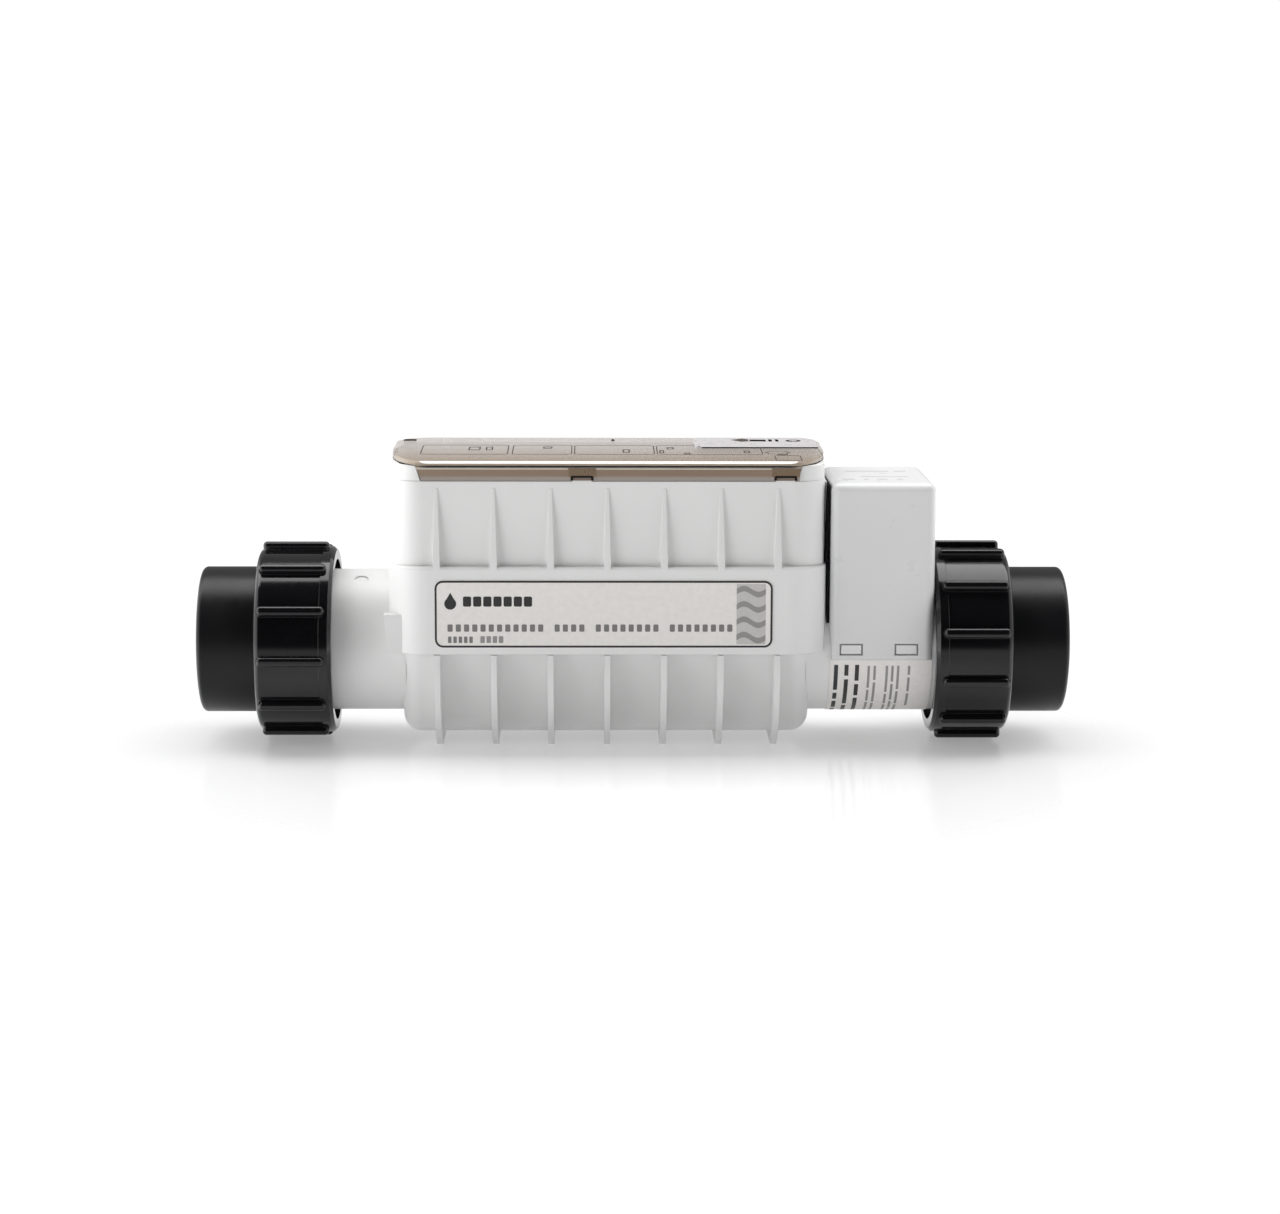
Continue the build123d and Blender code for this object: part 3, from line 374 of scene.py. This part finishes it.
def print_piece(name, shapes, place, thick, material, body):
    """One piece of print from several outlines. A shape is an outline, or an outline with its hole."""
    mesh = bmesh.new()
    for shape in shapes:
        outline, hole = shape if isinstance(shape, tuple) else (shape, None)
        add_prism(mesh, outline, place, thick * MM, hole)
    return piece(name, mesh, material, body)


def bar(x0, x1, y0, y1, radius=0.2):
    return rounded_rectangle(x0, x1, y0, y1, min(radius, (x1 - x0) / 2.01, (y1 - y0) / 2.01), 3)


def frame_line(x0, x1, y0, y1, radius, width, tall=None):
    """Frame outline: width is the line's thickness on the sides, tall on the top and bottom."""
    tall = tall or width
    outer = rounded_rectangle(x0, x1, y0, y1, radius)
    inner = rounded_rectangle(x0 + width, x1 - width, y0 + tall, y1 - tall, max(0.05, radius - tall))
    return (outer, inner)


def words(x0, y0, height, lengths, gap):
    """A line of print as plain bars, one for each word."""
    bars = []
    for length in lengths:
        bars.append(bar(x0, x0 + length, y0, y0 + height, height * 0.3))
        x0 += length + gap
    return bars


INK_THICK = 0.04


def letters(x0, y0, height, width, pitch, counts):
    """Words as rows of small blocks, one block for each letter."""
    blocks = []
    for count in counts:
        for _ in range(count):
            blocks.append(bar(x0, x0 + width, y0, y0 + height, width * 0.2))
            x0 += pitch
        x0 += pitch
    return blocks


def drop_outline(cx, cy, radius):
    """Plain water-drop mark."""
    points = []
    for step in range(25):
        angle = math.radians(-230 + 280 * step / 24)
        points.append((cx + radius * math.cos(angle), cy + radius * math.sin(angle)))
    points.append((cx, cy + radius * 1.9))
    return points


def wave_band(x0, x1, middle, swing, thick, steps=24):
    """Band that waves from x0 to x1."""
    def height(step):
        return middle + swing * math.sin(2 * math.pi * step / steps)

    places = [(x0 + (x1 - x0) * step / steps, height(step)) for step in range(steps + 1)]
    return [(x, y - thick / 2) for x, y in places] + [(x, y + thick / 2) for x, y in reversed(places)]


def front_print():
    """Border, drop mark, rows of blocks and a strip of waves on the long label."""
    low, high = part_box("front_label")
    face = low.y

    def place(u, v, w):
        return (u * MM, face - w, v * MM)

    x0, x1, z0, z1 = low.x / MM, high.x / MM, low.z / MM, high.z / MM
    print_piece("front_label_border", [frame_line(x0, x1, z0, z1, 4.0, 1.0)], place, INK_THICK, INK, "root")
    title = [drop_outline(x0 + 7.6, z1 - 11.4, 2.9)]
    title += letters(x0 + 13.8, z1 - 12.8, 5.0, 4.0, 4.95, [7])
    print_piece("front_label_title", title, place, INK_THICK, INK, "root")
    line = letters(x0 + 6.2, z1 - 25.2, 3.6, 2.5, 4.02, [12, 4, 8, 8])
    line += letters(x0 + 6.4, z1 - 30.8, 3.2, 1.7, 2.6, [5])
    print_piece("front_label_lines", line, place, INK_THICK, INK_SOFT, "root")
    code = letters(x0 + 22.2, z1 - 30.8, 3.4, 2.2, 3.0, [4])
    print_piece("front_label_code", code, place, INK_THICK, INK_GREY, "root")
    strip = [bar(x1 - 17.6, x1 - 3.4, z0 + 1.6, z1 - 1.6, 0.4)]
    print_piece("front_label_strip", strip, place, INK_THICK, INK_PALE, "root")
    waves = []
    for index in range(4):
        waves.append(wave_band(x1 - 17.6, x1 - 3.4, z0 + 5.0 + index * 7.6, 1.5, 2.8))
    print_piece("front_label_waves", waves, place, 2 * INK_THICK, INK_GREY, "root")


front_print()


def neck_print():
    """Rows of bars that run round the neck under the sensor box."""
    low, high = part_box("neck_label")
    radius = NECK_R + 0.35 * MM

    def place(u, v, w):
        reach = radius + w
        angle = v * MM / radius
        return (u * MM, -reach * math.cos(angle), AXIS_Z - reach * math.sin(angle))

    def row(x, height, start, lengths, gap):
        shapes = []
        for length in lengths:
            count = max(2, int(length / 1.5))
            for index in range(count):
                a = start + length * index / count
                b = start + length * (index + 1) / count
                shapes.append([(x, a), (x, b), (x + height, b), (x + height, a)])
            start += length + gap
        return shapes

    x0 = low.x / MM
    bold = row(x0 + 2.0, 2.0, 7.0, [15, 5, 8, 20, 9], 2.2)
    bold += row(x0 + 7.2, 2.0, 7.0, [6, 19, 12, 22], 2.2)
    bold += row(x0 + 12.4, 2.0, 7.0, [9, 8, 17, 6, 12], 2.2)
    print_piece("neck_label_bold", bold, place, INK_THICK, INK, "root")
    fine = []
    starts = [(18.6, [13, 9, 17, 11]), (21.6, [8, 15, 12, 16]), (27.6, [16, 9, 11, 14]),
              (30.4, [9, 12, 8, 18]), (33.2, [14, 11, 13]), (38.6, [5, 9, 12])]
    for offset, lengths in starts:
        fine += row(x0 + offset, 1.2, 7.5, lengths, 1.6)
    print_piece("neck_label_fine", fine, place, INK_THICK, INK_GREY, "root")


neck_print()


LID_HALF = 44.8
LID_FRONT_Z = 145.2
LID_RISE = 2.1
LID_BACK_CORNER = (28.0, 16.8, 16.8)  # middle in Y, radii in X and Y
LID_FRONT_CORNER = (5.0, 19.6, 49.8)
LABEL_FRONT = 4.0
LABEL_THICK = 0.6
VENTS = ((-113.5, 6.5), (-10.0, 1.6))  # middle and width
LATCHES = (("left", -25.6), ("right", 73.5))
LATCH_FACE = -45.0


def lid_height(y):
    """Height in millimetres of the lid's sloping top."""
    return LID_FRONT_Z + (y + LID_HALF) * LID_RISE / (2 * LID_HALF)


FRAMES = [(-105.8, -62.3), (-60.4, -30.6), (-29.6, 10.4), (11.4, 64.0)]


def keypad_print():
    """Captions on the keypad film under the lid."""
    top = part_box("keypad_overlay")[1].z

    def place(u, v, w):
        return (u * MM, v * MM, top + w)

    shapes = []
    for a, b in FRAMES:
        shapes += words(a + 4.0, -7.4, 2.2, [(b - a) * 0.34, (b - a) * 0.28], 1.6)
        shapes += words(a + 4.0, -24.4, 1.4, [(b - a) * 0.22, (b - a) * 0.16, (b - a) * 0.24], 2.4)
    shapes += words(-104.0, 8.0, 3.4, [40.0, 24.0, 52.0], 5.0)
    shapes += words(-104.0, 16.5, 1.6, [22, 31, 14, 40, 26], 3.0)
    shapes += words(-104.0, 21.5, 1.6, [35, 18, 27, 22, 31], 3.0)
    shapes += words(-104.0, 26.5, 1.6, [16, 44, 20, 30], 3.0)
    print_piece("keypad_print", shapes, place, INK_THICK, INK_GREY, "root")


keypad_print()


# middle, front edge, width and depth of each small mark
LEGEND_MARKS = [(-79.4, -4.0, 6.0, 12.0), (-72.0, -4.0, 3.6, 12.0), (-42.9, 2.0, 4.6, 7.0),
                (-3.7, -13.0, 3.6, 12.0), (13.9, -15.0, 2.4, 11.0), (18.5, 0.0, 3.6, 7.0),
                (26.4, -19.0, 3.2, 6.0), (56.3, -14.0, 3.0, 9.0), (73.5, -21.0, 5.0, 5.0)]


def lid_legend():
    """Frames, small marks and a badge printed on the lid's top."""
    def place(u, v, w):
        return (u * MM, v * MM, lid_height(v) * MM + w)

    lines = []
    for a, b in FRAMES:
        lines.append(frame_line(a, b, -20.0, 15.0, 3.0, 0.5, 1.1))
    lines.append(frame_line(69.0, 82.0, -42.0, -22.0, 2.5, 0.5, 1.1))
    badge = circle(71.4, -12.0, 6.0, 72, 0.08, 8)
    lines.append((badge, circle(71.4, -12.0, 5.2, 72, 0.08, 8)))
    print_piece("lid_legend_lines", lines, place, INK_THICK, INK_LID, "lid")
    marks = []
    for x, y, width, deep in LEGEND_MARKS:
        marks.append(frame_line(x - width / 2, x + width / 2, y, y + deep, 0.8, 0.7, 1.8))
    print_piece("lid_legend_marks", marks, place, INK_THICK, INK_LID, "lid")


lid_legend()


def lid_print():
    """Flow arrow and marks on the raised plate of the lid."""
    def place(u, v, w):
        return (u * MM, v * MM, (lid_height(v) + LABEL_THICK) * MM + w)

    head = [(50.0, 31.0), (56.0, 36.0), (59.0, 33.0), (59.0, 26.0), (55.0, 24.0)]
    print_piece("lid_label_arrow", [head], place, INK_THICK, INK_LID, "lid")
    tail = [bar(59.6, 67.9, 25.5, 32.0, 0.6), bar(69.2, 71.0, 25.0, 33.0, 0.4)]
    tail.append(bar(72.7, 74.3, 25.0, 33.0, 0.4))
    tail.append((circle(81.8, 28.0, 3.8, 60, 0.08, 10), circle(81.8, 28.0, 2.2, 60)))
    print_piece("lid_label_print", tail, place, INK_THICK, INK_DARK, "lid")

    def place_edge(u, v, w):
        return (u * MM, LABEL_FRONT * MM - w, (lid_height(LABEL_FRONT) + v) * MM)

    print_piece("lid_label_edge", [bar(34.4, 92.6, 0.04, 0.58, 0.2)], place_edge, INK_THICK, INK_DARK, "lid")
    print_piece("lid_label_dot", [circle(33.0, 6.5, 0.9)], place, INK_THICK, INK_DARK, "lid")


lid_print()


def lid_outline(grow, steps=24):
    """Outline of the lid's edge: round back corners, long elliptical front corners."""
    low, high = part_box("lid")
    x0, x1 = low.x / MM, high.x / MM
    back_y, back_wide, back_deep = LID_BACK_CORNER
    front_y, front_wide, front_deep = LID_FRONT_CORNER
    corners = [(x1 - back_wide, back_y, back_wide, back_deep, 0),
               (x0 + back_wide, back_y, back_wide, back_deep, 90),
               (x0 + front_wide, front_y, front_wide, front_deep, 180),
               (x1 - front_wide, front_y, front_wide, front_deep, 270)]
    points = []
    for cx, cy, wide, deep, start in corners:
        for step in range(steps + 1):
            angle = math.radians(start + 90 * step / steps)
            points.append((cx + (wide + grow) * math.cos(angle), cy + (deep + grow) * math.sin(angle)))
    return points


def lid_groove_shade():
    """Dark strip round the lid's lower edge, sitting in the groove as painted shade for that groove."""
    def place(u, v, w):
        return (u * MM, v * MM, 142.5 * MM + w)

    print_piece("lid_groove_shade", [(lid_outline(0.04), lid_outline(-0.75))], place, 0.6, DARK_GAP_SHADE, "lid")


lid_groove_shade()


def lid_vents():
    """Dark film closing the two small slots from inside."""
    def place(u, v, w):
        return (u * MM, v * MM, (lid_height(v) - 0.35) * MM + w)

    slots = [bar(x - width / 2, x + width / 2, 31.0, 38.0, 0.7) for x, width in VENTS]
    print_piece("lid_vents", slots, place, 0.2, INK_DARK, "lid")


lid_vents()


def latch_print():
    """Darker tabs on the lip, with a bracket round the tongue in each notch, and a pale line along the lip
    that is a painted highlight.
    """
    def place(u, v, w):
        return (u * MM, LATCH_FACE * MM - w, v * MM)

    def inside(u, v, w):
        return (u * MM, -44.2 * MM - w, v * MM)

    def front(u, v, w):
        return (u * MM, -LID_HALF * MM - w, v * MM)

    # Pale strip along the top of the lip: a painted highlight, not print.
    print_piece("lid_lip_highlight_line", [bar(-106.2, 66.5, 141.3, 141.9, 0.1)], front, INK_THICK, LIP_PAINTED_HIGHLIGHT, "lid")
    for side, x in LATCHES:
        tab = [bar(x - 6.7, x + 6.7, 137.8, 142.0, 0.3)]
        print_piece(side + "_latch_tab", tab, place, INK_THICK, LATCH_BROWN, "lid")
        bracket = [(x - 5.6, 136.0), (x - 4.5, 136.0), (x - 4.3, 137.3), (x + 4.3, 137.3), (x + 4.5, 136.0),
                   (x + 5.6, 136.0), (x + 5.6, 137.7), (x + 5.0, 138.3), (x - 5.0, 138.3), (x - 5.6, 137.7)]
        print_piece(side + "_latch_bracket", [bracket], place, 2 * INK_THICK, INK_DARK, "lid")
        tongue = [bar(x - 5.45, x + 5.45, 135.85, 137.65, 0.1)]
        print_piece(side + "_latch_tongue", tongue, inside, 0.4, LATCH_GREY, "lid")


latch_print()


def sensor_print():
    """Faint rows of bars on the sensor box's top."""
    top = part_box("sensor_cover")[1].z

    def place(u, v, w):
        return (u * MM, v * MM, top + w)

    shapes = words(103.0, -22.0, 5.0, [6.5, 2.6, 5.2, 3.4], 4.2)
    shapes += words(113.0, -10.0, 3.4, [24.0], 1.6) + words(107.0, 12.0, 4.0, [22.0, 6.0], 3.0)
    print_piece("sensor_cover_print", shapes, place, INK_THICK, INK_PALE, "root")


sensor_print()


# ---------------------------------------------------------------- stage
def add_floor():
    """White floor with a faint mirror sheen that fades out a short way from the object."""
    mesh = bmesh.new()
    bmesh.ops.create_circle(mesh, cap_ends=True, radius=1.4, segments=96)
    data = bpy.data.meshes.new("floor")
    mesh.to_mesh(data)
    mesh.free()
    floor = bpy.data.objects.new("floor", data)
    floor.location.z = -0.0002
    bpy.context.scene.collection.objects.link(floor)
    t = Tree("floor")
    shader = t.add("ShaderNodeBsdfPrincipled")
    shader.inputs["Base Color"].default_value = (0.64, 0.64, 0.645, 1.0)
    shader.inputs["Emission Color"].default_value = (1.0, 1.0, 1.0, 1.0)
    shader.inputs["Emission Strength"].default_value = 0.27
    shader.inputs["Roughness"].default_value = 0.13
    shader.inputs["Specular IOR Level"].default_value = 0.4
    squash = t.add("ShaderNodeMapping")
    squash.inputs["Scale"].default_value = (1.05, 1.0, 1.0)
    reach = t.add("ShaderNodeVectorMath", operation="LENGTH")
    clear = t.add("ShaderNodeBsdfTransparent")
    blend = t.add("ShaderNodeMixShader")
    t.join(t.where, squash.inputs["Vector"])
    t.join(squash.outputs["Vector"], reach.inputs[0])
    t.join(t.spread(reach.outputs["Value"], 0.0, 1.0, 0.19, 0.31), blend.inputs["Fac"])
    t.join(shader.outputs["BSDF"], blend.inputs[1])
    t.join(clear.outputs["BSDF"], blend.inputs[2])
    t.join(blend.outputs["Shader"], t.out.inputs["Surface"])
    data.materials.append(t.material)


def add_light(name, place, target, size, power, colour=(1, 1, 1)):
    data = bpy.data.lights.new(name, "AREA")
    data.shape = "RECTANGLE"
    data.size, data.size_y = size
    data.energy = power
    data.color = colour
    light = bpy.data.objects.new(name, data)
    light.location = place
    direction = Vector(target) - Vector(place)
    light.rotation_euler = direction.to_track_quat("-Z", "Y").to_euler()
    bpy.context.scene.collection.objects.link(light)


# axis, where the glow starts and stops along it, and its strength
WORLD_GLOW = [
    ("X", -0.42, -0.80, 2.7),
    ("X", 0.45, 0.80, 1.3),
    ("Y", -0.05, 0.35, 0.36),
    ("Z", 0.0, -0.12, 0.95),
]


def add_world():
    """White studio: bright at both sides, behind and below, dark in front so that black gloss stays black."""
    world = bpy.data.worlds.new("studio")
    bpy.context.scene.world = world
    world.use_nodes = True
    tree = world.node_tree
    tree.nodes.clear()

    def node(kind, **values):
        made = tree.nodes.new(kind)
        for key, value in values.items():
            setattr(made, key, value)
        return made

    split = node("ShaderNodeSeparateXYZ")
    tree.links.new(node("ShaderNodeTexCoord").outputs["Generated"], split.inputs[0])
    total = None
    for axis, start, stop, strength in WORLD_GLOW:
        ramp = node("ShaderNodeMapRange", interpolation_type="SMOOTHSTEP")
        ramp.inputs["From Min"].default_value = start
        ramp.inputs["From Max"].default_value = stop
        ramp.inputs["To Min"].default_value = 0.0
        ramp.inputs["To Max"].default_value = strength
        tree.links.new(split.outputs[axis], ramp.inputs["Value"])
        if total is None:
            total = ramp.outputs["Result"]
            continue
        plus = node("ShaderNodeMath", operation="ADD")
        tree.links.new(total, plus.inputs[0])
        tree.links.new(ramp.outputs["Result"], plus.inputs[1])
        total = plus.outputs[0]
    lit = node("ShaderNodeBackground")
    tree.links.new(total, lit.inputs["Strength"])
    seen = node("ShaderNodeBackground")
    seen.inputs["Strength"].default_value = 1.05
    seen.inputs["Color"].default_value = (1, 1, 1, 1)
    mix = node("ShaderNodeMixShader")
    tree.links.new(node("ShaderNodeLightPath").outputs["Is Camera Ray"], mix.inputs["Fac"])
    tree.links.new(lit.outputs[0], mix.inputs[1])
    tree.links.new(seen.outputs[0], mix.inputs[2])
    tree.links.new(mix.outputs[0], node("ShaderNodeOutputWorld").inputs["Surface"])


add_floor()
add_world()
add_light("overhead", (0.0, 0.28, 1.42), (0.0, 0.0, 0.05), (2.6, 0.8), 29.0)
bpy.context.scene.view_settings.view_transform = "Standard"
